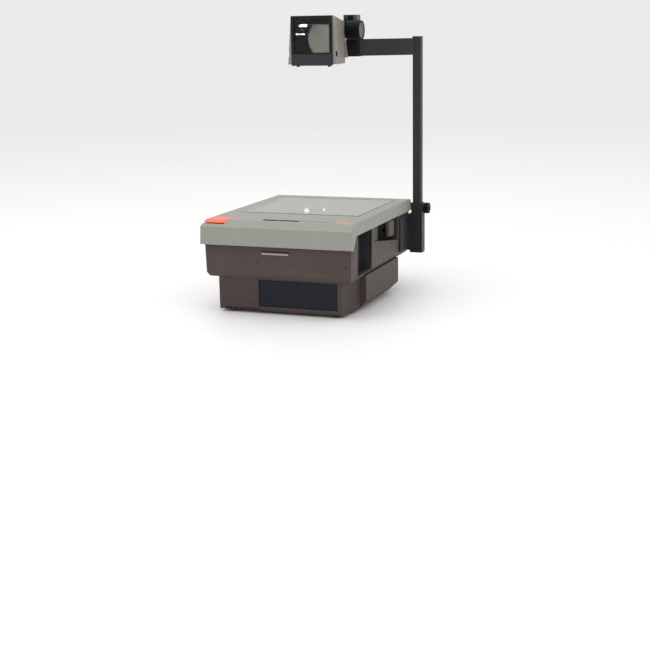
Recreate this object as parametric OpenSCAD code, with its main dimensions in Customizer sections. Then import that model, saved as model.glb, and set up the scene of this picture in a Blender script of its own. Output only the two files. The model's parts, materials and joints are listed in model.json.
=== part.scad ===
// Transmissive overhead projector: a stepped base with a lift-up stage cover, and a
// closed projection head that a rack and pinion raises on a column at the end of an arm.
// All sizes are millimetres. Each piece is drawn with the cover's middle at x = 0, the
// fascia's front at y = 0 and the table at z = 0, then moved to the middle of the whole.

/* [Cover] */
// Width of the cover across the foot of its fascia
cover_w = 360; // [356:1:366]
// Depth of the cover from fascia to rear edge
cover_d = 440; // [436:1:446]
// Height of the cover's top face above the table
cover_top = 208; // [206:0.5:210]
// Wall of the cover moulding
cover_wall = 3; // [2.5:0.5:3.5]

/* [Stage] */
// Width of the stage glass
glass_w = 286; // [280:1:288]
// Depth of the stage glass
glass_d = 268; // [262:1:270]
// Distance from the fascia to the middle of the glass
stage_y = 276; // [274:1:278]
// Thickness of the stage glass
glass_t = 4; // [3:0.5:4]

/* [Body] */
// Width of the upper housing at its rim
housing_w = 346; // [342:1:347]
// Rear face of the upper housing
housing_rear = 430; // [428:1:431]
// Underside of the upper housing above the table
housing_low = 81; // [79:1:83]
// Wall of the housing and base mouldings
shell_wall = 3; // [2.5:0.5:3]
// Height of the rubber feet
foot_h = 6; // [5:0.5:7]

/* [Front door] */
// Left edge of the lamp compartment door
door_left = -50; // [-54:1:-46]
// Right edge of the lamp compartment door
door_right = 136.5; // [132:0.5:138]
// Angle that the lamp compartment door opens
door_open = 75; // [60:5:80]

/* [Post and arm] */
// Width of the post tube
post_w = 20; // [18:1:20]
// Depth of the post tube
post_d = 18; // [16:1:18]
// Top of the post tube above the table
post_top = 592; // [580:1:600]
// Height of the arm's bar
arm_h = 38.5; // [34:0.5:42]
// Thickness of the arm's bar
arm_t = 16; // [12:1:18]

/* [Head] */
// Width of the window frame
window_w = 99; // [94:1:100]
// Middle of the head, sideways from the middle of the cover
head_x = 2; // [0:1:3]
// Front of the window frame, behind the fascia
head_front = 237; // [235:1:239]
// Depth of the head shell behind the window frame
shell_d = 73; // [70:1:73]
// Diameter of the focus knob
knob_dia = 43.6; // [40:0.2:43.6]
// Teeth on the focus pinion
pinion_teeth = 20; // [20:1:20]

/* [Hidden] */
$fn = 48;

// Colours
grey_top = [0.67, 0.68, 0.64];
brown_grey = [0.32, 0.29, 0.28];
door_black = [0.15, 0.16, 0.18];
near_black = [0.10, 0.10, 0.11];
head_beige = [0.53, 0.52, 0.48];
signal_orange = [0.93, 0.40, 0.28];
label_pink = [0.78, 0.48, 0.45];
bare_steel = [0.70, 0.71, 0.72];
clear_glass = [0.75, 0.85, 0.85, 0.4];

// Cover
fascia_low = 155;
fascia_top = 195;
bevel_y = 20.7;
skirt_low = 183;
skirt_front = 28;
fascia_lip = 8;
cover_half = cover_w / 2;
cover_top_half = cover_half - 6.7;
cover_knee_half = cover_half - 1.7;
rear_corner = 9;
ring_w = 8;
glass_gap = 0.8;
glass_rise = 0.6;
glass_seat = cover_top + glass_rise - glass_t - 0.1;
ring_low = glass_seat - 2;
sight = 4;
fresnel_t = 2.5;
slot_y = 41;
slot_half = 6.7;
slot_left = -44;
slot_right = 42;
bar_right = -124;
bar_rear = 68;
bar_front = 9;
bar_floor = cover_top - 8;
play = 0.4;

// Body
housing_half = housing_w / 2;
housing_foot_half = housing_half - 1.5;
housing_front = 10.8;
housing_rim = 186;
base_low = foot_h;
base_front = 19.5;
base_step = 110;
base_rear = 347;
base_half = housing_foot_half;
nose_half = 146;
step_half = 158;
door_low = 17;
door_high = 77.5;
door_pin_y = base_front + 4;
door_pin_z = door_low + 3;
floor_z = base_low + shell_wall;
comb_count = 10;
comb_pitch = 8.2;
comb_first = -129;

// Grip pocket and scoop in the right side
grip_front = 54;
grip_rear = 149;
grip_low = 88;
grip_high = 180;
grip_depth = 26;
scoop_front = 153;
scoop_rear = 342;
scoop_depth = 14;
scoop_ramp = 232;
scoop_x = housing_half - scoop_depth;
scoop_high = 150;
scoop_deep = 124;
bezel_front = 234;
bezel_rear = 334;
lever_y = 307;
lever_z = 157;
lever_half = 18;
lever_travel = 36;

// Lamps and optics
lamp_z = 75;
condenser_r = 39;
bracket_z = 104;

// Exhaust fan, behind the housing's rear wall
fan_x = -90;
fan_z = 133;
fan_r = 43;
fan_blades = 7;
outlet_r = 41;

// Cover hinge, at the rear
hinge_y = 437;
hinge_z = 178;
hinge_r = 2.5;
knuckle_r = 4.5;
hinge_xs = [-172, 92];

// Screws of the post bracket, in the housing's rear and right side
bracket_rear_zs = [96, 134];
bracket_side_zs = [134, 162];
bracket_screw_x = 146;
bracket_screw_y = 402;
cheek_front = 352;
cheek_low = 92;

// Latch, in the housing's front
latch_x0 = -35.5;
latch_x1 = 27.5;
latch_z = 139;

// Post, column and arm
post_x = 193;
post_y = 439;
post_low = 100;
collar_top = 201;
socket_top = 176;
column_x = 57.5;
column_y = 369;
column_s = 26;
column_top = 646;
block_low = 551;
block_top = 591;
arm_top = 590.5;
arm_angle = atan2(post_y - column_y, post_x - column_x);
arm_len = norm([post_x - column_x, post_y - column_y]);

// Focus drive: the pinion turns about an axis along X and climbs a rack on the column
gear_module = 0.8;
pinion_r = gear_module * pinion_teeth / 2;
knob_y = 328;
knob_z = 611;
shaft_r = 3;
rack_pitch_y = knob_y + pinion_r;
gear_x0 = 44.6;
gear_x1 = 48.4;
trunnion_r = 7;
carriage_front = 323;
rack_low = 594;
rack_teeth = floor((column_top - rack_low) / (PI * gear_module)) - 1;

// Head
window_low = 534;
window_top = 644.5;
mask_top = 560;
window_t = 6;
border = 6.5;
shell_front = head_front + window_t;
shell_rear = shell_front + shell_d;
shell_low = 537;
shell_top = 645;
shell_top_half = 51.5;
shell_low_half = 60;
shell_rear_half = 52.5;
shell_t = 2.5;
mirror_top = 626;
mirror_h = 91;
lens_y = 279.5;
lens_r = 44;
lens_flat = 32.5;
lens_sphere_r = 88;

// Moves every piece from the cover's own place to the middle of the whole object
left_end = -cover_half;
right_end = 222;
rear_end = 452;
module place() {
    translate([-(left_end + right_end) / 2, -rear_end / 2, 0]) children();
}

// A box between two corners
module block(lo, hi) {
    translate(lo) cube(hi - lo);
}

// An outline in Y and Z, drawn out along X
module along_x(points, x0, x1) {
    translate([x0, 0, 0]) rotate([90, 0, 90]) linear_extrude(x1 - x0) polygon(points);
}

// An outline in X and Z, drawn out along Y
module along_y(points, y0, y1) {
    translate([0, y1, 0]) rotate([90, 0, 0]) linear_extrude(y1 - y0) polygon(points);
}

module rod_x(x0, x1, y, z, r) {
    translate([x0, y, z]) rotate([0, 90, 0]) cylinder(h = x1 - x0, r = r);
}

module rod_y(y0, y1, x, z, r) {
    translate([x, y0, z]) rotate([-90, 0, 0]) cylinder(h = y1 - y0, r = r);
}

module rod_z(z0, z1, x, y, r) {
    translate([x, y, z0]) cylinder(h = z1 - z0, r = r);
}

// A rectangle with round corners, between two corner points
module round_rect(lo, hi, r) {
    translate([lo[0] + r, lo[1]]) square([hi[0] - lo[0] - 2 * r, hi[1] - lo[1]]);
    translate([lo[0], lo[1] + r]) square([hi[0] - lo[0], hi[1] - lo[1] - 2 * r]);
    for (x = [lo[0] + r, hi[0] - r], y = [lo[1] + r, hi[1] - r])
        translate([x, y]) circle(r);
}

// A pan-head screw whose head points along its own +Z
module screw(head_r, length) {
    difference() {
        union() {
            cylinder(h = 2, r = head_r);
            translate([0, 0, -length]) cylinder(h = length, r = head_r * 0.5);
        }
        for (a = [0, 90]) rotate([0, 0, a]) translate([-head_r * 0.6, -0.4, 1.2])
            cube([head_r * 1.2, 0.8, 1]);
    }
}

// ---------------------------------------------------------------- base

// Solid with the base pan's outer faces, drawn in by a wall thickness
module base_form(inset) {
    nose = nose_half - inset;
    step = step_half - inset;
    side = base_half - inset;
    low = base_low + inset;
    front = base_front + inset;
    rear = base_rear - inset;
    top = housing_low + (inset > 0 ? 1 : 0);
    intersection() {
        translate([0, 0, low]) linear_extrude(top - low)
            polygon([[-nose, front], [nose, front], [step, base_step + inset], [side, base_step + inset],
                [side, rear], [-side, rear], [-side, base_step + inset], [-step, base_step + inset]]);
        along_y([[-side, top], [-side, 22], [-side + 16, low], [side - 16, low], [side, 22], [side, top]],
            0, cover_d);
        along_x([[front, top], [front, 12 + inset], [front + 4, low], [rear - 18, low], [rear, 24],
            [rear, top]], -cover_half, cover_half);
    }
}

module base_pan() place() color(brown_grey) difference() {
    union() {
        difference() {
            base_form(0);
            base_form(shell_wall);
        }
        // bosses of the screws, and ears of the door's hinge
        screw_places() rod_z(floor_z - 1, housing_low, 0, 0, 5.5);
        for (x = [door_left - 6, door_right + 0.2])
            block([x, base_front + 1, door_low - 2], [x + 5.8, base_front + 8, door_low + 8]);
    }
    // lamp compartment doorway
    block([door_left, base_front - 1, door_low], [door_right, base_front + 6, door_high]);
    // comb of air slots along the foot of the front
    for (i = [0:comb_count - 1])
        block([comb_first + i * comb_pitch, base_front - 1, base_low - 1],
            [comb_first + i * comb_pitch + 4, base_front + 7, base_low + 7]);
    // bores of the door's hinge pins
    rod_x(door_left - 4.5, door_left + 1, door_pin_y, door_pin_z, 1.55);
    rod_x(door_right - 1, door_right + 4.5, door_pin_y, door_pin_z, 1.55);
    // seats of the feet, in the floor
    feet_places() rod_z(base_low - 1, base_low + 1.2, 0, 0, 8.1);
    // screws that hold the pan up to the housing
    screw_places() rod_z(base_low - 1, housing_low + 1, 0, 0, 2.1);
    // air inlet slots across the floor
    for (i = [0:7]) block([-130 + i * 9, 120, base_low - 1], [-126 + i * 9, 175, floor_z + 1]);
}

module feet_places() {
    for (x = [-126, 126], y = [44, 318]) translate([x, y, 0]) children();
}

module screw_places() {
    for (x = [-148, 148], y = [130, 320]) translate([x, y, 0]) children();
}

module rubber_feet() place() color(near_black) feet_places() difference() {
    union() {
        cylinder(h = foot_h, r1 = 7, r2 = 8);
        translate([0, 0, foot_h]) cylinder(h = 1.1, r = 8);
    }
    translate([0, 0, -1]) cylinder(h = 3, r = 2.5);
}

module base_screws() place() color(bare_steel) screw_places()
    translate([0, 0, base_low]) rotate([180, 0, 0]) screw(3.6, housing_low + 2 - base_low);

// Solid with the upper housing's outer faces, drawn in by a wall thickness
module housing_form(inset) {
    rim = housing_half - inset;
    foot = housing_foot_half - inset;
    low = housing_low + inset;
    top = housing_rim + (inset > 0 ? 1 : 0);
    front = housing_front + inset;
    rear = housing_rear - inset;
    intersection() {
        along_y([[-rim, top], [-rim, 150], [-foot, 92], [-foot + 5, low], [foot - 5, low], [foot, 92],
            [rim, 150], [rim, top]], 0, cover_d);
        along_x([[front, top], [front, 90], [front + 6, low], [rear - 3, low], [rear, low + 3],
            [rear, top]], -cover_half, cover_half);
    }
}

function scoop_foot(y) =
    scoop_high - (scoop_high - scoop_deep) * (y - scoop_front) / (scoop_rear - scoop_front);

// The scoop's hollow: its foot slopes down to the rear, and its back wall runs in to full depth
module scoop_form(grow) {
    back = scoop_x - grow;
    intersection() {
        along_x([[scoop_front - grow, housing_rim + 2], [scoop_front - grow, scoop_high - grow],
            [scoop_rear + grow, scoop_deep - grow], [scoop_rear + grow, housing_rim + 2]],
            back, housing_half + 1);
        translate([0, 0, 100]) linear_extrude(100)
            polygon([[housing_half + 1 - grow, scoop_front - grow - 1], [back, scoop_ramp],
                [back, scoop_rear + grow], [housing_half + 1, scoop_rear + grow],
                [housing_half + 1, scoop_front - grow - 1]]);
    }
}

module upper_housing() place() color(brown_grey) difference() {
    union() {
        difference() {
            housing_form(0);
            housing_form(shell_wall);
        }
        // wall round the scoop, inside the housing
        intersection() {
            scoop_form(shell_wall);
            housing_form(0);
        }
    }
    scoop_form(0);
    // slot in the scoop's wall for the lamp changer's stem
    block([scoop_x - 4, lever_y - lever_travel - 8, lever_z - 6],
        [scoop_x + 1, lever_y + 8, lever_z + 6]);
    // opening in the right side for the grip pocket
    block([housing_half - 12, grip_front, grip_low], [housing_half + 1, grip_rear, grip_high]);
    // well that opens the housing into the base
    block([-136, 45, housing_low - 1], [136, 336, housing_low + 4]);
    // mouth of the latch
    block([latch_x0 - 0.8, housing_front - 1, latch_z - 3.2],
        [latch_x1 + 0.8, housing_front + 4, latch_z + 4.4]);
    // sight holes of the front screws
    for (x = [-44.6, 32.7, 159]) rod_y(housing_front - 1, housing_front + 4, x, 116.4, 1.6);
    // round air outlet in the rear
    rod_y(housing_rear - 4, housing_rear + 1, fan_x, fan_z, outlet_r);
    // mouth of the power inlet
    block([42, housing_rear - 4, 96], [92, housing_rear + 1, 124]);
    // holes of the base screws and the bracket screws
    screw_places() rod_z(housing_low - 1, housing_low + 4, 0, 0, 2);
    for (z = bracket_rear_zs) rod_y(housing_rear - 5, housing_rear + 1, bracket_screw_x, z, 2.1);
    for (z = bracket_side_zs) rod_x(housing_half - 8, housing_half + 1, bracket_screw_y, z, 2.1);
}

module grip_liner() place() color(near_black) difference() {
    block([housing_foot_half - grip_depth - 2, grip_front + 0.2, grip_low + 0.2],
        [housing_foot_half - shell_wall - 0.3, grip_rear - 0.2, grip_high - 0.2]);
    block([housing_foot_half - grip_depth, grip_front + 2, grip_low + 2],
        [housing_half, grip_rear - 2, grip_high - 2]);
}

module rear_grille() place() color(near_black) difference() {
    union() {
        rod_y(housing_rear - 3, housing_rear, fan_x, fan_z, outlet_r - 0.2);
        rod_y(housing_rear, housing_rear + 2, fan_x, fan_z, outlet_r + 3);
    }
    for (r = [8:8:32]) difference() {
        rod_y(housing_rear - 4, housing_rear + 3, fan_x, fan_z, r + 5.5);
        rod_y(housing_rear - 5, housing_rear + 4, fan_x, fan_z, r);
        for (a = [0:60:120]) translate([fan_x, housing_rear, fan_z]) rotate([0, a, 0])
            cube([90, 12, 4], center = true);
    }
}

module power_inlet() place() color(near_black) {
    difference() {
        union() {
            block([44, housing_rear - 24, 98], [90, housing_rear, 122]);
            block([38, housing_rear, 94], [96, housing_rear + 2, 126]);
        }
        block([53, housing_rear - 16, 101.5], [81, housing_rear + 3, 118.5]);
        for (x = [41.5, 92.5]) rod_y(housing_rear - 1, housing_rear + 3, x, 110, 1.6);
    }
    // the three blades of the inlet
    for (x = [60, 67, 74]) block([x - 1, housing_rear - 17, x == 67 ? 110 : 105],
        [x + 1, housing_rear - 3, x == 67 ? 114 : 109]);
}

module heat_shield() place() color(bare_steel) difference() {
    block([-130, 186, floor_z + 0.2], [130, 187.2, 78]);
    for (x = [-100:25:100]) rod_y(185, 188, x, 60, 5);
}

module transformer() place() color([0.35, 0.33, 0.30]) {
    for (x = [-120, -82]) block([x, 50, floor_z + 0.2], [x + 30, 110, floor_z + 62]);
    block([-90, 50, floor_z + 0.2], [-82, 110, floor_z + 10]);
    block([-90, 50, floor_z + 52], [-82, 110, floor_z + 62]);
}

// Frame of the exhaust fan, with the motor's boss and spindle held by four spokes
module fan_frame() place() color(near_black) {
    difference() {
        block([fan_x - 46, 400, fan_z - 47], [fan_x + 46, 425, fan_z + 45]);
        rod_y(399, 426, fan_x, fan_z, fan_r);
    }
    for (a = [45:90:315]) translate([fan_x, 421, fan_z]) rotate([0, a, 0])
        block([-3, 0, 0], [3, 3, fan_r + 1]);
    rod_y(421, 425, fan_x, fan_z, 15);
    rod_y(408, 421, fan_x, fan_z, 4);
}

module fan_rotor() place() color(door_black) {
    difference() {
        union() {
            rod_y(404, 420, fan_x, fan_z, 16);
            for (i = [0:fan_blades - 1]) translate([fan_x, 412, fan_z])
                rotate([0, i * 360 / fan_blades, 0]) rotate([0, 0, 32]) block([-9, -0.9, 12], [9, 0.9, 40]);
        }
        rod_y(407.5, 421, fan_x, fan_z, 4.05);
    }
}

// A bridge over the lamps that holds the condenser
module optics_bracket() place() color(bare_steel) difference() {
    union() {
        block([-70, 215, bracket_z], [70, 337, bracket_z + 2]);
        for (x = [-70, 62], y = [215, 297]) block([x, y, floor_z + 0.2], [x + 8, y + 8, bracket_z]);
        for (x = [-70, 62]) block([x, 215, floor_z + 0.2], [x + 8, 305, floor_z + 2]);
    }
    rod_z(bracket_z - 1, bracket_z + 3, 0, stage_y, condenser_r - 2);
}

module reflector() place() color(bare_steel) translate([0, stage_y, floor_z + 0.2]) {
    rotate_extrude() polygon([[0, 20], [12, 21.6], [24, 26.6], [34, 35], [36, 33.6], [25.4, 24.8],
        [13, 19.4], [8, 18.2], [8, 0], [0, 0]]);
}

module condenser_lens() place() color(clear_glass) translate([0, stage_y, bracket_z + 2]) {
    rotate_extrude() intersection() {
        translate([0, -44]) circle(r = 59);
        translate([0, 0]) square([condenser_r, 20]);
    }
}

module thermal_cutout() place() color(bare_steel) {
    rod_z(bracket_z + 2, bracket_z + 8, 52, 232, 7);
    block([42, 228, bracket_z + 2], [62, 236, bracket_z + 3]);
}

// Slide with both lamps, and the strip that joins it to the lever outside
module lamp_carriage() place() color(bare_steel) {
    block([-56, stage_y - 20, lamp_z - 12], [-50, stage_y + 56, lamp_z + 12]);
    block([-56, stage_y + 46, lamp_z + 12], [-50, 351, lamp_z + 19]);
    block([-50, 345, lamp_z + 12], [146, 351, lamp_z + 19]);
    block([140, 345, lamp_z + 19], [146, 351, lever_z + 4]);
    block([140, lever_y - 4, lever_z - 4], [146, 345, lever_z + 4]);
    block([146, lever_y - 6, lever_z - 4], [scoop_x + 1.5, lever_y + 6, lever_z + 4]);
}

module lamp_pair() {
    for (y = [stage_y, stage_y + lever_travel]) translate([0, y, lamp_z]) children();
}

module lamp_sockets() place() color([0.88, 0.86, 0.80]) lamp_pair() difference() {
    block([-50, -9, -9], [-30, 9, 9]);
    for (y = [-3.2, 3.2]) rod_x(-36, -29, y, 0, 0.9);
}

module lamps() place() color(clear_glass) lamp_pair() {
    rod_x(-30, -22, 0, 0, 6.5);
    rod_x(-22, 8, 0, 0, 5.5);
    translate([8, 0, 0]) sphere(r = 5.5);
    for (y = [-3.2, 3.2]) rod_x(-36, -30, y, 0, 0.8);
}

module lamp_changer_lever() place() color([0.45, 0.42, 0.39]) difference() {
    along_y([[scoop_x + 1.6, lever_z - 19], [scoop_x + 9, lever_z - 18], [scoop_x + 9, lever_z + 17],
        [scoop_x + 1.6, lever_z + 19]], lever_y - lever_half, lever_y + lever_half);
    for (i = [-2:2]) block([scoop_x + 8, lever_y + i * 7 - 1, lever_z - 17],
        [scoop_x + 10, lever_y + i * 7 + 1, lever_z + 16]);
}

// Black plate on the scoop's back wall, with the slot that the lever's stem runs in
module lever_bezel() place() color(near_black) difference() {
    along_x([[bezel_front, housing_rim - 3], [bezel_front, scoop_foot(bezel_front) + 0.3],
        [bezel_rear, scoop_foot(bezel_rear) + 0.3], [bezel_rear, housing_rim - 3]], scoop_x, scoop_x + 1.2);
    block([scoop_x - 1, lever_y - lever_travel - 8, lever_z - 6], [scoop_x + 2, lever_y + 8, lever_z + 6]);
}

// ---------------------------------------------------------------- front door and latch

module front_door() place() color(door_black) difference() {
    union() {
        block([door_left + 0.8, base_front + 2, door_low + 0.8],
            [door_right - 0.8, base_front + 5, door_high - 0.8]);
        rod_x(door_left + 0.8, door_right - 0.8, door_pin_y, door_pin_z, 2);
    }
    rod_x(door_left, door_left + 6, door_pin_y, door_pin_z, 1.55);
    rod_x(door_right - 6, door_right, door_pin_y, door_pin_z, 1.55);
    // finger scoop in the top edge
    rod_y(base_front + 1, base_front + 3.4, (door_left + door_right) / 2, door_high + 6, 13);
}

module door_hinge_pins() place() color(bare_steel) {
    rod_x(door_left - 4, door_left + 5.5, door_pin_y, door_pin_z, 1.5);
    rod_x(door_right - 5.5, door_right + 4, door_pin_y, door_pin_z, 1.5);
}

module stage_latch() place() color([0.74, 0.70, 0.68]) {
    block([latch_x0, 7.6, latch_z - 2.6], [latch_x1, 17, latch_z + 1.6]);
    block([-12, 17, latch_z - 2.6], [4, 20, 196]);
    block([-12, 16.6, 193], [4, 17, 196]);
}

module latch_spring() place() color(bare_steel) for (x = [-24, 16])
    rod_y(17, 30, x, latch_z, 2);

// ---------------------------------------------------------------- cover hinge

module hinge_brackets() place() color(near_black) for (x = hinge_xs) difference() {
    union() {
        block([x, housing_rear, 150], [x + 38, housing_rear + 2, hinge_z]);
        block([x, housing_rear, hinge_z - 4], [x + 38, hinge_y, hinge_z - 1.5]);
        rod_x(x, x + 11, hinge_y, hinge_z, knuckle_r);
        rod_x(x + 27, x + 38, hinge_y, hinge_z, knuckle_r);
    }
    rod_x(x - 1, x + 39, hinge_y, hinge_z, hinge_r + 0.05);
    block([x + 11, hinge_y - 6, hinge_z - 6], [x + 27, hinge_y + 6, hinge_z + 6]);
}

module hinge_pins() place() color(bare_steel) for (x = hinge_xs)
    rod_x(x, x + 38, hinge_y, hinge_z, hinge_r);

module hinge_leaves() place() color(near_black) for (x = hinge_xs) difference() {
    union() {
        rod_x(x + 11.4, x + 26.6, hinge_y, hinge_z, knuckle_r);
        block([x + 11.4, hinge_y - 3, hinge_z], [x + 26.6, hinge_y - 0.2, 200]);
    }
    rod_x(x, x + 38, hinge_y, hinge_z, hinge_r + 0.05);
}

// ---------------------------------------------------------------- post bracket

module post_bracket() place() color(near_black) difference() {
    union() {
        block([176.2, 427.5, 79], [207, rear_end, socket_top]);
        block([180, 427.5, socket_top], [206, rear_end, collar_top]);
        block([132, housing_rear + 0.3, 84], [176.2, housing_rear + 4.3, 146]);
        block([housing_half + 0.2, cheek_front, cheek_low], [176.2, housing_rear + 4.3, socket_top - 2]);
        rod_x(206, 209, post_y, 188, 9);
    }
    block([post_x - post_w / 2 - 0.2, post_y - post_d / 2 - 0.2, post_low - 0.2],
        [post_x + post_w / 2 + 0.2, post_y + post_d / 2 + 0.2, collar_top + 1]);
    rod_x(203, 215, post_y, 188, 3.05);
    for (z = bracket_rear_zs) rod_y(housing_rear - 1, housing_rear + 6, bracket_screw_x, z, 2.1);
    for (z = bracket_side_zs) rod_x(housing_half - 3, 177, bracket_screw_y, z, 2.1);
}

module bracket_screws() place() color(bare_steel) {
    for (z = bracket_rear_zs) translate([bracket_screw_x, housing_rear + 4.3, z])
        rotate([-90, 0, 0]) screw(4, 9);
    for (z = bracket_side_zs) translate([176.2, bracket_screw_y, z]) rotate([0, 90, 0]) screw(4, 8);
}

module post_clamp_knob() place() color(near_black) {
    rod_x(203.4, 212, post_y, 188, 3);
    difference() {
        rod_x(210, 222, post_y, 188, 13);
        for (a = [0:45:315]) translate([0, post_y, 188]) rotate([a, 0, 0])
            rod_x(209, 223, 0, 15.5, 4);
        rod_x(220, 223, post_y, 188, 6);
    }
}

// ---------------------------------------------------------------- stage cover

// Solid with the cover's outer faces, drawn in by a wall thickness
module cover_form(inset) {
    foot = cover_half - inset;
    knee = cover_knee_half - inset;
    top = cover_top_half - inset * 0.6;
    up = cover_top - inset;
    low = fascia_low - (inset > 0 ? 1 : 0);
    rear = cover_d - inset;
    corner = rear_corner - inset;
    intersection() {
        along_y([[-foot, low], [-knee, fascia_top - inset * 0.4], [-top, up], [top, up],
            [knee, fascia_top - inset * 0.4], [foot, low]], 0, cover_d);
        along_x([[inset, low], [inset + 0.8, fascia_top - inset * 0.4], [bevel_y + inset * 0.4, up],
            [rear, up], [rear, low]], -cover_half, cover_half);
        translate([0, 0, low]) linear_extrude(up - low) union() {
            round_rect([-foot, 60], [foot, rear], corner);
            translate([-foot, -1]) square([2 * foot, 100]);
        }
    }
}

// What stays of the cover below its top: deep at the fascia, shallow along the skirts
module cover_skirt_cut() {
    along_x([[fascia_lip, fascia_low - 2], [fascia_lip, fascia_low], [skirt_front, skirt_low],
        [cover_d + 1, skirt_low], [cover_d + 1, fascia_low - 2]], -cover_half - 1, cover_half + 1);
}

module stage_cover() place() color(grey_top) difference() {
    union() {
        difference() {
            cover_form(0);
            cover_form(cover_wall);
            cover_skirt_cut();
        }
        intersection() {
            cover_form(0);
            union() {
                // ring that carries the glass
                block([-glass_w / 2 - ring_w, stage_y - glass_d / 2 - ring_w, ring_low],
                    [glass_w / 2 + ring_w, stage_y + glass_d / 2 + ring_w, cover_top - 1]);
                // floor of the power bar's pocket
                block([-cover_half, bar_front + 2, bar_floor - 2.4],
                    [bar_right + 3, bar_rear + 3, cover_top - 1]);
                // catch for the latch
                block([-14, 8, 188.5], [6, 12.6, cover_top - 1]);
                block([-14, 12.6, 188.5], [6, 16, 192.3]);
            }
        }
    }
    // sight of the glass, and its seat
    block([-glass_w / 2 + sight, stage_y - glass_d / 2 + sight, ring_low - 1],
        [glass_w / 2 - sight, stage_y + glass_d / 2 - sight, cover_top + 1]);
    block([-glass_w / 2 - glass_gap, stage_y - glass_d / 2 - glass_gap, glass_seat],
        [glass_w / 2 + glass_gap, stage_y + glass_d / 2 + glass_gap, cover_top + 1]);
    // slot of the colour lever, groove of the trim strip, seat of the label
    block([slot_left - 0.2, slot_y - slot_half, cover_top - 4],
        [slot_right + 0.2, slot_y + slot_half, cover_top + 1]);
    block([slot_right + 1, slot_y - 1.5, cover_top - 0.8], [126, slot_y + 1.5, cover_top + 1]);
    block([127, slot_y - 9, cover_top - 0.8], [161, slot_y + 11, cover_top + 1]);
    // pocket of the power bar
    block([-cover_half - 1, bar_front, bar_floor], [bar_right, bar_rear, cover_top + 1]);
    // holes of the hinge leaves' rivets
    for (x = hinge_xs, dx = [14.5, 23.5]) rod_y(cover_d - 4, cover_d + 1, x + dx, 193, 1.5);
}

module stage_glass() place() color(clear_glass)
    block([-glass_w / 2, stage_y - glass_d / 2, glass_seat + 0.1],
        [glass_w / 2, stage_y + glass_d / 2, cover_top + glass_rise]);

module fresnel_lens() place() color(clear_glass)
    block([-glass_w / 2 - 2, stage_y - glass_d / 2 - 2, ring_low - fresnel_t - 0.1],
        [glass_w / 2 + 2, stage_y + glass_d / 2 + 2, ring_low - 0.1]);

module glass_retainer() place() color(bare_steel) difference() {
    block([-glass_w / 2 - ring_w, stage_y - glass_d / 2 - ring_w, ring_low - fresnel_t - 2.2],
        [glass_w / 2 + ring_w, stage_y + glass_d / 2 + ring_w, ring_low - 0.05]);
    block([-glass_w / 2 - 2.2, stage_y - glass_d / 2 - 2.2, ring_low - fresnel_t - 0.2],
        [glass_w / 2 + 2.2, stage_y + glass_d / 2 + 2.2, ring_low + 1]);
    block([-glass_w / 2 + 6, stage_y - glass_d / 2 + 6, ring_low - 10],
        [glass_w / 2 - 6, stage_y + glass_d / 2 - 6, ring_low + 1]);
}

module power_bar() place() color(signal_orange) {
    intersection() {
        cover_form(0);
        block([-cover_half, bar_front + play, bar_floor + 2.4],
            [bar_right - play, bar_rear - play, cover_top]);
    }
}

module power_switch() place() color(near_black) {
    block([-160, 26, 180], [-136, 58, bar_floor - 2.6]);
    block([-152, 36, 175], [-149, 37, 180]);
    block([-152, 46, 175], [-149, 47, 180]);
}

// Black tray set in the cover, with a slot in its floor
module slot_liner() place() color(near_black) difference() {
    block([slot_left, slot_y - slot_half + 0.2, cover_top - 3.2],
        [slot_right, slot_y + slot_half - 0.2, cover_top + 0.2]);
    block([slot_left + 1.6, slot_y - 5, cover_top - 2], [slot_right - 1.6, slot_y + 5, cover_top + 1]);
    block([slot_left + 4, slot_y - 2, cover_top - 4], [slot_right - 4, slot_y + 2, cover_top]);
}

module colour_lever() place() color(near_black) {
    block([-11, slot_y - 4.2, cover_top - 1.7], [1, slot_y + 4.2, cover_top]);
    block([-10, slot_y - 1.6, cover_top - 7], [0, slot_y + 1.6, cover_top - 1.7]);
    block([-48, slot_y - 8, cover_top - 7.5], [38, slot_y + 8, cover_top - 5.5]);
}

module label_plate() place() color(label_pink)
    block([127.3, slot_y - 8.7, cover_top - 0.8], [160.7, slot_y + 10.7, cover_top + 0.1]);

module trim_strip() place() color(near_black)
    block([slot_right + 1.2, slot_y - 1.3, cover_top - 0.8], [125.8, slot_y + 1.3, cover_top + 0.1]);

// ---------------------------------------------------------------- post, arm and column

module post_form(grow) {
    block([post_x - post_w / 2 - grow, post_y - post_d / 2 - grow, post_low],
        [post_x + post_w / 2 + grow, post_y + post_d / 2 + grow, post_top]);
}

module post_tube() place() color(near_black) difference() {
    post_form(0);
    block([post_x - post_w / 2 + 1.8, post_y - post_d / 2 + 1.8, post_low - 1],
        [post_x + post_w / 2 - 1.8, post_y + post_d / 2 - 1.8, post_top + 1]);
}

module post_cap() place() color(near_black) {
    block([post_x - post_w / 2 - 0.4, post_y - post_d / 2 - 0.4, post_top],
        [post_x + post_w / 2 + 0.4, post_y + post_d / 2 + 0.4, post_top + 2.5]);
    block([post_x - post_w / 2 + 1.8, post_y - post_d / 2 + 1.8, post_top - 8],
        [post_x + post_w / 2 - 1.8, post_y + post_d / 2 - 1.8, post_top]);
}

module block_form() {
    block([column_x - column_s / 2 - 1, column_y - column_s / 2 - 2, block_low],
        [column_x + column_s / 2 + 3, column_y + column_s / 2 + 2, block_top]);
}

module arm_bar() place() color(near_black) difference() {
    translate([column_x, column_y, arm_top - arm_h]) rotate([0, 0, arm_angle])
        translate([0, -arm_t / 2, 0]) cube([arm_len, arm_t, arm_h]);
    block_form();
    post_form(0);
    block([post_x - 5, post_y - 30, 500], [post_x + 60, post_y + 40, 700]);
}

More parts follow.
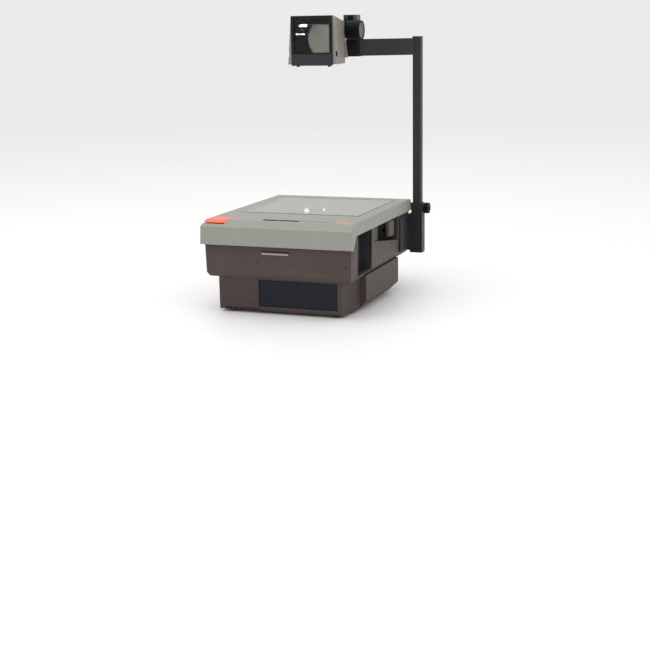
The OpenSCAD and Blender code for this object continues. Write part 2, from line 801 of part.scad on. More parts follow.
module arm_end_block() place() color(near_black) difference() {
    block_form();
    block([column_x - column_s / 2, column_y - column_s / 2, block_low + 6],
        [column_x + column_s / 2, column_y + column_s / 2, block_top + 1]);
}

module column() place() color(near_black) difference() {
    block([column_x - column_s / 2, column_y - column_s / 2, block_low + 6],
        [column_x + column_s / 2, column_y + column_s / 2, column_top]);
    // shoulder that the rack stop sits on
    block([column_x + 5, column_y - column_s / 2 - 1, column_top - 12],
        [column_x + column_s / 2 + 1, column_y + column_s / 2 + 1, column_top + 1]);
    rod_z(block_low + 5, column_top - 14, column_x, column_y, 7);
}

module rack_stop() place() color([0.45, 0.46, 0.46])
    block([column_x + 5, column_y - column_s / 2, column_top - 12],
        [column_x + column_s / 2, column_y + column_s / 2, column_top]);

// Rack whose teeth face the pinion, one tooth level with the pinion's axis
module focus_rack() place() color([0.35, 0.36, 0.37]) {
    pitch = PI * gear_module;
    root = rack_pitch_y + gear_module * 1.1;
    tip = rack_pitch_y - gear_module * 0.75;
    below = floor((knob_z - rack_low) / pitch) - 1;
    block([gear_x0, root, rack_low], [gear_x1, column_y - column_s / 2, column_top]);
    for (i = [-below:rack_teeth - below - 1])
        along_x([[root, knob_z + i * pitch - 0.95], [root, knob_z + i * pitch + 0.95],
            [tip, knob_z + i * pitch + 0.35], [tip, knob_z + i * pitch - 0.35]], gear_x0, gear_x1);
}

// ---------------------------------------------------------------- focus drive

module pinion_outline() {
    step = 360 / pinion_teeth;
    root = pinion_r - gear_module * 1.1;
    tip = pinion_r + gear_module * 0.8;
    flank = [[root, 0.12], [tip, 0.36], [tip, 0.64], [root, 0.88]];
    polygon([for (i = [0:pinion_teeth - 1], p = flank)
        [p[0] * cos((i + p[1]) * step), p[0] * sin((i + p[1]) * step)]]);
}

module pinion_shaft() place() color(bare_steel) {
    rod_x(33, 91, knob_y, knob_z, shaft_r);
    translate([gear_x0, knob_y, knob_z]) rotate([90, 0, 90]) linear_extrude(gear_x1 - gear_x0)
        pinion_outline();
}

module carriage() place() color(near_black) {
    low = block_top + 1.5;
    high = 631;
    gap = 0.35;
    cx0 = column_x - column_s / 2 - gap;
    cx1 = column_x + column_s / 2 + gap;
    cy1 = column_y + column_s / 2 + gap;
    difference() {
        union() {
            block([37, carriage_front, low], [cx0, cy1 + 4.5, high]);
            block([37, cy1, low], [cx1 + 4.5, cy1 + 4.5, high]);
            block([cx1, 353, low], [cx1 + 4.5, cy1 + 4.5, high]);
            block([48.8, carriage_front, low], [51.8, 333, high]);
            block([cx0, carriage_front, low], [48.8, 333, low + 4]);
            block([cx0, carriage_front, high - 8], [48.8, 333, high]);
            rod_x(32, 37, knob_y, knob_z, trunnion_r);
            rod_x(51.8, 55.6, knob_y, knob_z, trunnion_r);
        }
        rod_x(31.9, 60, knob_y, knob_z, shaft_r + 0.05);
    }
}

module focus_knob() place() color(near_black) difference() {
    union() {
        rod_x(60, 92, knob_y, knob_z, knob_dia / 2);
        rod_x(56, 60, knob_y, knob_z, 11);
    }
    rod_x(55, 92 - 3, knob_y, knob_z, shaft_r);
    rod_x(89, 93, knob_y, knob_z, knob_dia / 2 - 3.5);
    for (a = [0:15:345]) translate([0, knob_y, knob_z]) rotate([a, 0, 0])
        rod_x(64, 93, 0, knob_dia / 2 + 0.4, 1);
}

module knob_cap() place() color([0.42, 0.43, 0.42])
    difference() {
        rod_x(89, 91, knob_y, knob_z, knob_dia / 2 - 3.6);
        rod_x(88, 92, knob_y, knob_z, shaft_r);
    }

// ---------------------------------------------------------------- projection head

// Lugs behind the shell that turn on the carriage's trunnions
module head_bracket() place() color(near_black) difference() {
    union() for (x = [[32.2, 36.7], [52.1, 55.4]]) {
        rod_x(x[0], x[1], knob_y, knob_z, 10);
        block([x[0], shell_rear, knob_z - 10], [x[1], knob_y, knob_z + 10]);
    }
    rod_x(31, 60, knob_y, knob_z, trunnion_r + 0.05);
}

// Solid with the head shell's outer faces, drawn in by a wall thickness
module shell_form(inset) {
    top = shell_top_half - inset;
    low = shell_low_half - inset;
    front = shell_front - (inset > 0 ? 1 : 0);
    rear = shell_rear - inset;
    floor_h = shell_low - (inset > 0 ? 1 : 0);
    intersection() {
        along_y([[head_x - top, shell_top - inset], [head_x - low, floor_h], [head_x + low, floor_h],
            [head_x + top, shell_top - inset]], front, rear);
        along_x([[front, floor_h], [front, shell_top - inset], [rear, shell_top - 14 - inset],
            [rear, floor_h]], head_x - 80, head_x + 80);
        translate([head_x, 0, floor_h]) linear_extrude(120) polygon([[-low, shell_front],
            [-shell_rear_half + inset, shell_rear], [shell_rear_half - inset, shell_rear],
            [low, shell_front], [low, front], [-low, front]]);
    }
}

module head_shell() place() color(head_beige) difference() {
    union() {
        difference() {
            shell_form(0);
            shell_form(shell_t);
        }
        // flange round the window frame
        intersection() {
            shell_form(0.5);
            block([head_x - 70, shell_front, shell_low], [head_x + 70, shell_front + 2, shell_top]);
        }
        // ear beside the pivot
        along_y([[head_x + 48, 550], [head_x + 60, 550], [head_x + 53, 604], [head_x + 48, 604]],
            shell_rear - shell_t, shell_rear);
    }
    block([head_x - window_w / 2 + 3, shell_front - 1, shell_low - 1],
        [head_x + window_w / 2 - 3, shell_front + 3, window_top - 3]);
    // slots in the front edge of the side walls
    for (x = [head_x - 59, head_x + 57]) block([x, shell_front - 1, 554], [x + 2, shell_front + 7, 566]);
    // holes of the rear screws
    head_screw_places() rod_y(shell_rear - 5, shell_rear + 1, 0, 0, 1.6);
}

module head_screw_places() {
    for (x = [-36, 20], z = [552, 618]) translate([x, 0, z]) children();
}

module head_screws() place() color(bare_steel) head_screw_places()
    translate([0, shell_rear, 0]) rotate([-90, 0, 0]) screw(3, shell_t + 1.5);

module window_frame() place() color(near_black) difference() {
    block([head_x - window_w / 2, head_front, window_low],
        [head_x + window_w / 2, shell_front, window_top]);
    block([head_x - window_w / 2 + border, head_front - 1, mask_top],
        [head_x + window_w / 2 - border, shell_front + 1, window_top - border]);
    block([head_x - window_w / 2 + border - 2, head_front + 3, mask_top - 2],
        [head_x + window_w / 2 - border + 2, shell_front + 1, window_top - border + 2]);
}

module window_glass() place() color(clear_glass)
    block([head_x - window_w / 2 + border - 1.8, head_front + 3, mask_top - 1.8],
        [head_x + window_w / 2 - border + 1.8, head_front + 5, window_top - border + 1.8]);

module window_feet() place() color(near_black) for (x = [-34, 42])
    block([head_x + x - 3, head_front + 0.5, window_low - 2.5],
        [head_x + x + 3, head_front + 5.5, window_low]);

module head_mirror() place() color([0.80, 0.82, 0.84]) translate([head_x, shell_front + 3, mirror_top])
    rotate([-45, 0, 0]) translate([-46, 0, 0]) cube([92, mirror_h, 3]);

// A disc with two flats, which face the front and the rear
module flatted_disc(z0, z1, r, flat) {
    intersection() {
        rod_z(z0, z1, head_x, lens_y, r);
        block([head_x - r, lens_y - flat, z0], [head_x + r, lens_y + flat, z1]);
    }
}

// Floor of the head, which holds the lens in a stepped seat
module lens_ring() place() color(near_black) difference() {
    intersection() {
        shell_form(shell_t + 0.3);
        block([head_x - 60, shell_front + 2.3, shell_low + 1],
            [head_x + 60, shell_rear - shell_t - 0.3, shell_low + 5]);
    }
    flatted_disc(shell_low, shell_low + 6, lens_r - 1.5, lens_flat - 1.5);
    flatted_disc(shell_low + 3, shell_low + 6, lens_r, lens_flat);
}

module objective_lens() place() color(clear_glass) intersection() {
    flatted_disc(shell_low + 3, shell_low + 20, lens_r - 0.1, lens_flat - 0.1);
    translate([head_x, lens_y, shell_low + 18 - lens_sphere_r]) sphere(r = lens_sphere_r);
}

base_pan();
upper_housing();
rubber_feet();
base_screws();
grip_liner();
rear_grille();
power_inlet();
heat_shield();
transformer();
fan_frame();
fan_rotor();
optics_bracket();
reflector();
condenser_lens();
thermal_cutout();
lamp_carriage();
lamp_sockets();
lamps();
lamp_changer_lever();
lever_bezel();
front_door();
door_hinge_pins();
stage_latch();
latch_spring();
hinge_brackets();
hinge_pins();
post_bracket();
bracket_screws();
post_clamp_knob();
stage_cover();
hinge_leaves();
stage_glass();
fresnel_lens();
glass_retainer();
power_bar();
power_switch();
slot_liner();
colour_lever();
label_plate();
trim_strip();
post_tube();
post_cap();
arm_bar();
arm_end_block();
column();
focus_rack();
rack_stop();
carriage();
pinion_shaft();
focus_knob();
knob_cap();
head_bracket();
head_shell();
window_frame();
window_glass();
head_mirror();
lens_ring();
objective_lens();
head_screws();
window_feet();
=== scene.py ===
import json
import math

import bmesh
import bpy
from mathutils import Euler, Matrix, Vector

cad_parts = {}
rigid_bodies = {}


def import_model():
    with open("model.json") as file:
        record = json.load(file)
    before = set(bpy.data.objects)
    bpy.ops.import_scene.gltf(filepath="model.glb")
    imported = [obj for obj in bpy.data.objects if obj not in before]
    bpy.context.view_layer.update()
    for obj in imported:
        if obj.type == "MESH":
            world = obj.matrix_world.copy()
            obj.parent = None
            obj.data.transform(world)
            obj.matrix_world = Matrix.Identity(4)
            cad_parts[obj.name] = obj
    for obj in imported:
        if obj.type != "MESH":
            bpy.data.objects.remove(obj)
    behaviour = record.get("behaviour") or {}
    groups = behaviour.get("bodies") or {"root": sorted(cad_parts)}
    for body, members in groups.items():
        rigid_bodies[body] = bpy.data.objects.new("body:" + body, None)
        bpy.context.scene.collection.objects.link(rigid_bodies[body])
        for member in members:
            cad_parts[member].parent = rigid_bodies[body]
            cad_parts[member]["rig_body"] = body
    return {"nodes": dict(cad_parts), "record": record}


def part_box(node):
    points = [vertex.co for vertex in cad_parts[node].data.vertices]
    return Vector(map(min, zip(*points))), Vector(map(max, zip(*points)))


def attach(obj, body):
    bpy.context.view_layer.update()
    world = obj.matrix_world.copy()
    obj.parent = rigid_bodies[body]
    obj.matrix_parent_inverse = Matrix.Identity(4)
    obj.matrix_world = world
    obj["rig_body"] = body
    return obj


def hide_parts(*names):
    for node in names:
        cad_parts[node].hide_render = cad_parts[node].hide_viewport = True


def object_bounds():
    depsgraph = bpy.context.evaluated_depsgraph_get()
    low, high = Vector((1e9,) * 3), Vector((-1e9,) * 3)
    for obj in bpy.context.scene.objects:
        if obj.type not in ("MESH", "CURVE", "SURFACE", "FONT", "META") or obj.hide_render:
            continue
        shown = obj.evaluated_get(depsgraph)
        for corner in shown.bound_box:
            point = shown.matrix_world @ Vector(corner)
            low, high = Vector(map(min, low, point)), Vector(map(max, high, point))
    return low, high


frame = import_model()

cad_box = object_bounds()
nodes = frame["nodes"]

# ------------------------------------------------------------------ places
# Lengths are given in millimetres from the middle of the cover's fascia, at the table.
MM = 0.001
cover_lo, cover_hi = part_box("stage_cover")
ORIGIN = Vector(((cover_lo.x + cover_hi.x) / 2, cover_lo.y, 0))


def at(x, y, z):
    """A point in the row frame, from millimetres in the cover's own frame."""
    return ORIGIN + Vector((x, y, z)) * MM


def body_of(node):
    return nodes[node]["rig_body"]


# ------------------------------------------------------------------ camera, light and floor
CAMERA_AT = (1.0315, -2.6775, 0.6199)
CAMERA_TURN = (76.5, 1.0, 20.71)
LENS = 68.8

camera_data = bpy.data.cameras.new("camera")
camera_data.lens = LENS
camera = bpy.data.objects.new("camera", camera_data)
camera.location = CAMERA_AT
camera.rotation_euler = Euler([math.radians(a) for a in CAMERA_TURN])
bpy.context.scene.collection.objects.link(camera)
bpy.context.scene.camera = camera

scene = bpy.context.scene
scene.view_settings.view_transform = "Standard"


def softbox(name, place, target, size, watts, height=None):
    """An area light that faces a point, square unless it has a height of its own."""
    data = bpy.data.lights.new(name, "AREA")
    data.size = size
    if height:
        data.shape = "RECTANGLE"
        data.size_y = height
    data.energy = watts
    light = bpy.data.objects.new(name, data)
    light.location = place
    light.rotation_euler = (Vector(target) - Vector(place)).to_track_quat("-Z", "Y").to_euler()
    scene.collection.objects.link(light)


MIDDLE = (0, 0, 0.25)
softbox("light_top", (-0.2, -0.3, 2.6), MIDDLE, 1.6, 18)
softbox("light_front", (-2.3, -1.7, 1.5), MIDDLE, 1.2, 8)
softbox("light_right", (2.5, -1.0, 1.3), MIDDLE, 1.2, 4.8)
softbox("light_rear", (-0.6, 2.4, 3.4), MIDDLE, 1.4, 8)

# small bare lamps, which make the glints in the head's window and on the stage
softbox("glint_window", (-1.002, -2.408, 0.626), at(-18, 240, 623), 0.034, 0.36, 0.011)
softbox("glint_window_low", (-1.015, -2.408, 0.590), at(-25, 240, 604), 0.040, 0.10, 0.005)
softbox("glint_stage", (-0.754, 1.809, 0.496), at(2, 187, 208), 0.015, 0.0011, 0.007)
softbox("glint_stage_far", (-0.699, 1.856, 0.496), at(35, 215, 208), 0.008, 0.0003, 0.005)

world = bpy.data.worlds.new("studio")
world.use_nodes = True
sky = world.node_tree
rise = sky.nodes.new("ShaderNodeSeparateXYZ")
sky.links.new(sky.nodes.new("ShaderNodeTexCoord").outputs["Generated"], rise.inputs[0])
pale = sky.nodes.new("ShaderNodeMapRange")
sky.links.new(rise.outputs["Z"], pale.inputs["Value"])
for socket, value in {"From Min": 0.0, "From Max": 0.35, "To Min": 0.83, "To Max": 0.88}.items():
    pale.inputs[socket].default_value = value
sky.nodes["Background"].inputs["Color"].default_value = (1, 1, 1, 1)
sky.links.new(pale.outputs["Result"], sky.nodes["Background"].inputs["Strength"])
scene.world = world


# ------------------------------------------------------------------ materials
class Look:
    """A material's node tree, with short ways to add and join its nodes."""

    def __init__(self, name):
        self.material = bpy.data.materials.new(name)
        self.material.use_nodes = True
        self.tree = self.material.node_tree
        self.shader = self.tree.nodes["Principled BSDF"]
        self.coords = self.tree.nodes.new("ShaderNodeTexCoord").outputs["Object"]

    def node(self, kind, settings=None, **inputs):
        new = self.tree.nodes.new(kind)
        for key, value in (settings or {}).items():
            setattr(new, key, value)
        for key, value in inputs.items():
            self.feed(new.inputs[key.replace("_", " ")], value)
        return new

    def feed(self, socket, value):
        if isinstance(value, bpy.types.NodeSocket):
            self.tree.links.new(value, socket)
        else:
            socket.default_value = value

    def set(self, **inputs):
        for key, value in inputs.items():
            self.feed(self.shader.inputs[key.replace("_", " ")], value)

    def noise(self, scale, detail=3, coords=None):
        """Cloudy noise with a given number of blobs per metre, from 0 to 1."""
        return self.node("ShaderNodeTexNoise", Vector=coords or self.coords, Scale=scale,
                         Detail=detail).outputs["Fac"]

    def span(self, value, low, high, start=0.25, end=0.75):
        """A value from start to end, mapped to low to high."""
        return self.node("ShaderNodeMapRange", Value=value, From_Min=start, From_Max=end,
                         To_Min=low, To_Max=high).outputs["Result"]

    def math(self, operation, a, b):
        new = self.tree.nodes.new("ShaderNodeMath")
        new.operation = operation
        self.feed(new.inputs[0], a)
        self.feed(new.inputs[1], b)
        return new.outputs[0]

    def mix(self, share, a, b):
        """Colour a where share is 0 and colour b where it is 1."""
        new = self.tree.nodes.new("ShaderNodeMix")
        new.data_type = "RGBA"
        self.feed(new.inputs["Factor"], share)
        self.feed(new.inputs["A"], a)
        self.feed(new.inputs["B"], b)
        return new.outputs["Result"]

    def bump(self, height, strength, distance=0.0002, under=None):
        new = self.node("ShaderNodeBump", Height=height, Strength=strength, Distance=distance)
        if under:
            self.tree.links.new(under, new.inputs["Normal"])
        return new.outputs["Normal"]

    def wear(self):
        """1 on the rounded edges that softened() makes, broken up by noise, and 0 elsewhere."""
        edge = self.node("ShaderNodeAttribute", {"attribute_name": "edge"}).outputs["Fac"]
        return self.math("MULTIPLY", edge, self.span(self.noise(160, 4), 0, 1, 0.42, 0.62))


def shade(colour, factor):
    return (*[min(1, c * factor) for c in colour[:3]], 1)


def moulded(name, colour, rough=0.55, grain=0.25, grain_scale=1500, variety=0.07, worn=1.35,
            specular=0.5):
    """Moulded plastic with a fine spark-eroded grain, faint clouding and rubbed edges."""
    look = Look(name)
    cloud = look.noise(11, 4)
    speck = look.noise(grain_scale * 0.45, 2)
    tint = look.mix(look.span(cloud, 0, 1), shade(colour, 1 - variety), shade(colour, 1 + variety))
    tint = look.mix(look.span(speck, 0, 0.35), tint, shade(colour, 1 - 3 * variety))
    tint = look.mix(look.math("MULTIPLY", look.wear(), 0.6), tint, shade(colour, worn))
    look.set(Base_Color=tint, Specular_IOR_Level=specular,
             Roughness=look.span(look.noise(60, 4), rough - 0.07, rough + 0.07))
    fine = look.bump(look.noise(grain_scale, 2), grain, 0.00015)
    look.set(Normal=look.bump(look.noise(26, 2), 0.06, 0.0008, under=fine))
    return look.material


def painted(name, colour, rough=0.4, orange_peel=0.12, worn=(0.30, 0.30, 0.31), wear_share=0.35,
            specular=0.4):
    """Sprayed paint with orange peel, faint dust and edges rubbed lighter."""
    look = Look(name)
    tint = look.mix(look.span(look.noise(8, 5), 0, 1), shade(colour, 0.9), shade(colour, 1.1))
    dust = look.span(look.noise(420, 3), 0, 0.25, 0.55, 0.8)
    tint = look.mix(dust, tint, shade(colour, 1.6))
    tint = look.mix(look.math("MULTIPLY", look.wear(), wear_share), tint, (*worn, 1))
    look.set(Base_Color=tint, Specular_IOR_Level=specular,
             Roughness=look.span(look.noise(45, 5), rough - 0.08, rough + 0.1))
    look.set(Normal=look.bump(look.noise(550, 1), orange_peel, 0.0003))
    return look.material


def metal(name, colour, rough=0.3, streaks=(30, 900, 900)):
    """Bare metal with drawn streaks."""
    look = Look(name)
    stretched = look.node("ShaderNodeMapping", Vector=look.coords, Scale=streaks).outputs["Vector"]
    streak = look.noise(1, 3, stretched)
    tint = look.mix(look.span(look.noise(20, 4), 0, 1), shade(colour, 0.85), shade(colour, 1.08))
    look.set(Base_Color=tint, Metallic=1.0, Roughness=look.span(streak, rough - 0.1, rough + 0.14),
             Normal=look.bump(streak, 0.15, 0.0001))
    return look.material


def clear(name, tint, rough=0.015, ior=1.45, smeared=0.05):
    """Polished glass with the faintest smears."""
    look = Look(name)
    smear = look.span(look.noise(35, 5), rough, rough + smeared, 0.5, 0.8)
    colour = look.mix(look.span(look.noise(6, 2), 0, 1), shade(tint, 0.985), shade(tint, 1.0))
    look.set(Base_Color=colour, Transmission_Weight=1.0, IOR=ior, Roughness=smear)
    return look.material


GREY_TOP = (0.295, 0.298, 0.260)
BROWN = (0.081, 0.060, 0.056)
LOOKS = {
    "casing_grey": moulded("casing_grey", GREY_TOP, 0.5, 0.2, 1600, 0.035, 1.22, 0.35),
    "casing_brown": moulded("casing_brown", BROWN, 0.5, 0.45, 700, 0.14, 1.6, 0.22),
    "door_plastic": moulded("door_plastic", (0.013, 0.015, 0.022), 0.45, 0.4, 1100, 0.12, 2.2, 0.15),
    "black_plastic": moulded("black_plastic", (0.010, 0.010, 0.012), 0.42, 0.2, 1500, 0.12, 2.2,
                             0.16),
    "knob_plastic": moulded("knob_plastic", (0.004, 0.0065, 0.0075), 0.42, 0.15, 1800, 0.12, 2.5,
                            0.09),
    "orange_plastic": moulded("orange_plastic", (0.88, 0.192, 0.110), 0.4, 0.05, 1800, 0.04, 1.1, 0.3),
    "label_pink": moulded("label_pink", (0.60, 0.24, 0.20), 0.45, 0.05, 1800, 0.05, 1.15, 0.3),
    "lever_plastic": moulded("lever_plastic", (0.15, 0.125, 0.115), 0.5, 0.3, 1300, 0.08, 1.5, 0.25),
    "latch_plastic": moulded("latch_plastic", (0.36, 0.30, 0.28), 0.4, 0.1, 1500, 0.05, 1.2, 0.3),
    "head_casing": painted("head_casing", (0.250, 0.220, 0.196), 0.45, 0.18, (0.42, 0.41, 0.38),
                           0.35, 0.3),
    "black_paint": painted("black_paint", (0.022, 0.020, 0.024), 0.42, 0.15, (0.16, 0.16, 0.17),
                           0.3, 0.28),
    "grey_plastic": moulded("grey_plastic", (0.11, 0.115, 0.11), 0.45, 0.2, 1500, 0.06, 1.5, 0.3),
    "rack_plastic": moulded("rack_plastic", (0.06, 0.065, 0.07), 0.45, 0.1, 1500, 0.06, 1.5, 0.3),
    "foot_rubber": moulded("foot_rubber", (0.012, 0.012, 0.012), 0.75, 0.5, 900, 0.15, 1.3, 0.2),
    "bare_steel": metal("bare_steel", (0.62, 0.62, 0.60), 0.32),
    "bright_aluminium": metal("bright_aluminium", (0.85, 0.86, 0.88), 0.16, (500, 500, 30)),
    "transformer_iron": metal("transformer_iron", (0.16, 0.14, 0.12), 0.5, (20, 2600, 20)),
    "clear_glass": clear("clear_glass", (0.95, 0.98, 0.96)),
    "front_mirror": metal("front_mirror", (0.92, 0.93, 0.94), 0.1, (3, 3, 3)),
    "socket_ceramic": moulded("socket_ceramic", (0.74, 0.71, 0.64), 0.3, 0.1, 700, 0.04, 1.05),
}
HEAD_RIM = painted("head_rim", (0.27, 0.27, 0.25), 0.5, 0.15, (0.42, 0.42, 0.40), 0.3, 0.3)
# near-black used as painted shade: on the head's inside, in its edge slots, on the latch's neck and on
# the lever's bezel
FLAT_BLACK = moulded("flat_black", (0.006, 0.006, 0.007), 0.75, 0.3, 900, 0.15, 1.3, 0.04)
PANEL_BLUE = moulded("panel_blue", (0.028, 0.028, 0.033), 0.4, 0.12, 1800, 0.08, 1.6, 0.25)
GRIP_BLACK = moulded("grip_black", (0.040, 0.038, 0.045), 0.6, 0.35, 1100, 0.12, 1.8, 0.2)
PAN_BROWN = moulded("pan_brown", (0.069, 0.050, 0.048), 0.5, 0.45, 700, 0.14, 1.7, 0.2)
DULL_STEEL = metal("dull_steel", (0.20, 0.20, 0.21), 0.45)
BLACK_STEEL = metal("black_steel", (0.06, 0.06, 0.065), 0.4)
STAGE_GLASS = clear("stage_glass", (0.88, 0.885, 0.84), 0.02, 1.14)
COATED = clear("coated_glass", (0.86, 0.87, 0.86), 0.0, 1.25, 0.01)
SATIN_BLACK = painted("satin_black", (0.009, 0.010, 0.012), 0.45, 0.15, (0.10, 0.10, 0.11), 0.25,
                      0.18)


def fresnel_look():
    """Acrylic sheet whose fine rings are centred on the stage. Its light grey-green tone, with the
    lighter broad rings, is painted light: diffuse colour that stands in for the room light the clear
    lens would pass through.
    """
    look = Look("fresnel_acrylic")
    lo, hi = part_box("fresnel_lens")
    centre = look.node("ShaderNodeVectorMath", {"operation": "SUBTRACT"})
    look.feed(centre.inputs[0], look.coords)
    centre.inputs[1].default_value = ((lo.x + hi.x) / 2, (lo.y + hi.y) / 2, (lo.z + hi.z) / 2)
    rings = look.node("ShaderNodeTexWave", {"wave_type": "RINGS", "rings_direction": "Z"},
                      Vector=centre.outputs[0], Scale=55.0, Distortion=0.0, Detail=0.0)
    broad = look.node("ShaderNodeTexWave", {"wave_type": "RINGS", "rings_direction": "Z"},
                      Vector=centre.outputs[0], Scale=7.0, Distortion=0.4, Detail=2.0)
    # painted light: the diffuse grey-green tone stands in for light the lens would pass
    tint = look.mix(look.span(rings.outputs["Fac"], 0, 1, 0, 1), (0.245, 0.248, 0.218, 1),
                    (0.285, 0.288, 0.256, 1))
    tint = look.mix(look.span(broad.outputs["Fac"], 0, 0.45, 0, 1), tint, (0.31, 0.313, 0.28, 1))
    look.set(Base_Color=tint, Specular_IOR_Level=0.1,
             Roughness=look.span(rings.outputs["Fac"], 0.45, 0.6, 0, 1),
             Normal=look.bump(rings.outputs["Fac"], 0.1, 0.0002))
    return look.material


LOOKS["fresnel_acrylic"] = fresnel_look()
SLOT_OF = {s["node"]: s["material_slot"] for s in frame["record"]["subparts"]}


# ------------------------------------------------------------------ mesh helpers
def finish_piece(mesh, name, slot, body, look=None):
    """Makes an object of a bmesh, with a look and a body to ride on."""
    data = bpy.data.meshes.new(name)
    mesh.to_mesh(data)
    mesh.free()
    piece = bpy.data.objects.new(name, data)
    scene.collection.objects.link(piece)
    data.materials.append(look or LOOKS[slot])
    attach(piece, body)
    return piece


def smooth_by_angle(mesh, degrees=32):
    """Smooth faces, with the edges that turn more than an angle left sharp."""
    for face in mesh.faces:
        face.smooth = True
    limit = math.radians(degrees)
    for edge in mesh.edges:
        edge.smooth = len(edge.link_faces) == 2 and edge.calc_face_angle(0) < limit


def softened(node, width, steps=2, sharp=28, zones=(), cut=None):
    """A copy of a CAD node with its sharp edges rounded. It stands for the node.

    Each zone is a look and a test of a face, and cut is the plane a zone ends at.
    """
    mesh = bmesh.new()
    mesh.from_mesh(nodes[node].data)
    bmesh.ops.remove_doubles(mesh, verts=mesh.verts, dist=2e-6)
    bmesh.ops.dissolve_limit(mesh, angle_limit=math.radians(0.6), verts=mesh.verts,
                             edges=mesh.edges)
    limit = math.radians(sharp)
    edges = [e for e in mesh.edges if len(e.link_faces) == 2 and e.calc_face_angle(0) > limit]
    before = mesh.faces.layers.float.new("edge")
    made = bmesh.ops.bevel(mesh, geom=edges, offset=width * MM, offset_type="OFFSET",
                           segments=steps, profile=0.6, affect="EDGES", clamp_overlap=True,
                           harden_normals=False)
    for face in made["faces"]:
        face[before] = 1.0
    if cut:
        bmesh.ops.bisect_plane(mesh, geom=mesh.verts[:] + mesh.edges[:] + mesh.faces[:], dist=1e-7,
                               plane_co=cut[0], plane_no=cut[1])
    mesh.normal_update()
    for i, (look, test) in enumerate(zones):
        for face in mesh.faces:
            if test(face.calc_center_median(), face.normal):
                face.material_index = i + 1
    smooth_by_angle(mesh)
    piece = finish_piece(mesh, node + "_soft", SLOT_OF[node], body_of(node), OWN_LOOKS.get(node))
    for look, test in zones:
        piece.data.materials.append(look)
    # flat faces keep their own direction, and the light turns only on the rounded edges
    piece.modifiers.new("face_area_normals", "WEIGHTED_NORMAL").keep_sharp = True
    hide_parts(node)
    return piece


# ------------------------------------------------------------------ carried CAD nodes
# how far the edges of each node are rounded, in millimetres
SOFT = {
    "stage_cover": 0.7, "base_pan": 0.8, "upper_housing": 0.9, "front_door": 0.6,
    "power_bar": 0.5, "label_plate": 0.15, "stage_latch": 0.5, "lamp_changer_lever": 0.6,
    "grip_liner": 0.3, "post_bracket": 0.8, "post_tube": 0.9, "post_cap": 0.7, "arm_bar": 1.0,
    "arm_end_block": 0.8, "column": 0.8, "rack_stop": 0.8, "carriage": 0.6, "head_shell": 0.8,
    "window_frame": 0.7, "window_feet": 0.4, "focus_knob": 0.5, "knob_cap": 0.3,
    "post_clamp_knob": 0.6, "head_bracket": 0.5, "rear_grille": 0.4, "power_inlet": 0.4,
    "rubber_feet": 0.5, "hinge_brackets": 0.3, "hinge_leaves": 0.3, "colour_lever": 0.3,
    "trim_strip": 0.1, "lens_ring": 0.3, "slot_liner": 0.2, "lever_bezel": 0.2,
    "fan_frame": 0.4, "transformer": 0.5, "lamp_sockets": 0.5, "optics_bracket": 0.3,
    "glass_retainer": 0.3, "stage_glass": 0.25,
}

head_lo, head_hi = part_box("head_shell")
head_mid = (head_lo + head_hi) / 2
HEAD_INNER_HALF = 54 * MM
RIM_BACK = at(0, 261, 0)
PANEL_TOP = at(0, 0, 560)
NECK_FRONT = at(0, 16, 0)
SLOT_LOW, SLOT_TOP = at(0, 243.5, 553), at(0, 251, 567)
SLOT_X, SLOT_HALF = 58 * MM, 1.2 * MM
OWN_LOOKS = {
    # painted shade: the lever's bezel gets near-black for the shade in the lever's pocket
    "base_pan": PAN_BROWN, "grip_liner": GRIP_BLACK, "lever_bezel": FLAT_BLACK,
    "window_glass": COATED, "stage_glass": STAGE_GLASS, "pinion_shaft": DULL_STEEL,
    "head_screws": DULL_STEEL, "bracket_screws": BLACK_STEEL, "arm_end_block": SATIN_BLACK,
    "carriage": SATIN_BLACK, "column": SATIN_BLACK,
}


def faces_inward(point, normal):
    """The inside of the head's shell, but not the ear beside the pivot. These faces get near-black as
    painted shade for the dark inside the closed head.
    """
    from_mid = point - head_mid
    return normal.dot(from_mid) < 0 and abs(from_mid.x) < HEAD_INNER_HALF


def in_edge_slot(point, normal):
    """The small slots in the front edge of the head's side walls, whose faces get near-black as
    painted shade.
    """
    aside = abs(point.x - head_mid.x)
    return (abs(aside - SLOT_X) < SLOT_HALF and SLOT_LOW.y < point.y < SLOT_TOP.y
            and SLOT_LOW.z < point.z < SLOT_TOP.z)


def is_rim(point, normal):
    """The front stretch of the shell, outside."""
    return point.y < RIM_BACK.y and not faces_inward(point, normal)


ZONES = {
    # painted shade: near-black on the shell's inside and in the slots of its front edges
    "head_shell": ([(FLAT_BLACK, faces_inward), (HEAD_RIM, is_rim), (FLAT_BLACK, in_edge_slot)],
                   (RIM_BACK, (0, 1, 0))),
    "window_frame": ([(PANEL_BLUE, lambda p, n: n.y < -0.9 and p.z < PANEL_TOP.z)],
                     (PANEL_TOP, (0, 0, 1))),
    # painted shade: the latch's faces behind the bar's front, its neck, get near-black for the dark
    # slot around it
    "stage_latch": ([(FLAT_BLACK, lambda p, n: p.y > NECK_FRONT.y)], None),
}
for name, width in SOFT.items():
    zones, cut = ZONES.get(name, ((), None))
    softened(name, width, zones=zones, cut=cut)
for name, obj in nodes.items():
    if not obj.hide_render:
        obj.data.materials.clear()
        obj.data.materials.append(OWN_LOOKS.get(name, LOOKS[SLOT_OF[name]]))


# ------------------------------------------------------------------ wiring, windings, filaments
def smooth_path(points, steps):
    """Points along a curve that passes through all the given ones."""
    points = [Vector(p) for p in points]
    ends = [2 * points[0] - points[1]] + points + [2 * points[-1] - points[-2]]
    path = []
    for a, b, c, d in zip(ends, ends[1:], ends[2:], ends[3:]):
        for i in range(steps):
            t = i / steps
            path.append(0.5 * (2 * b + (c - a) * t + (2 * a - 5 * b + 4 * c - d) * t * t
                               + (3 * b - a - 3 * c + d) * t ** 3))
    return path + [points[-1]]


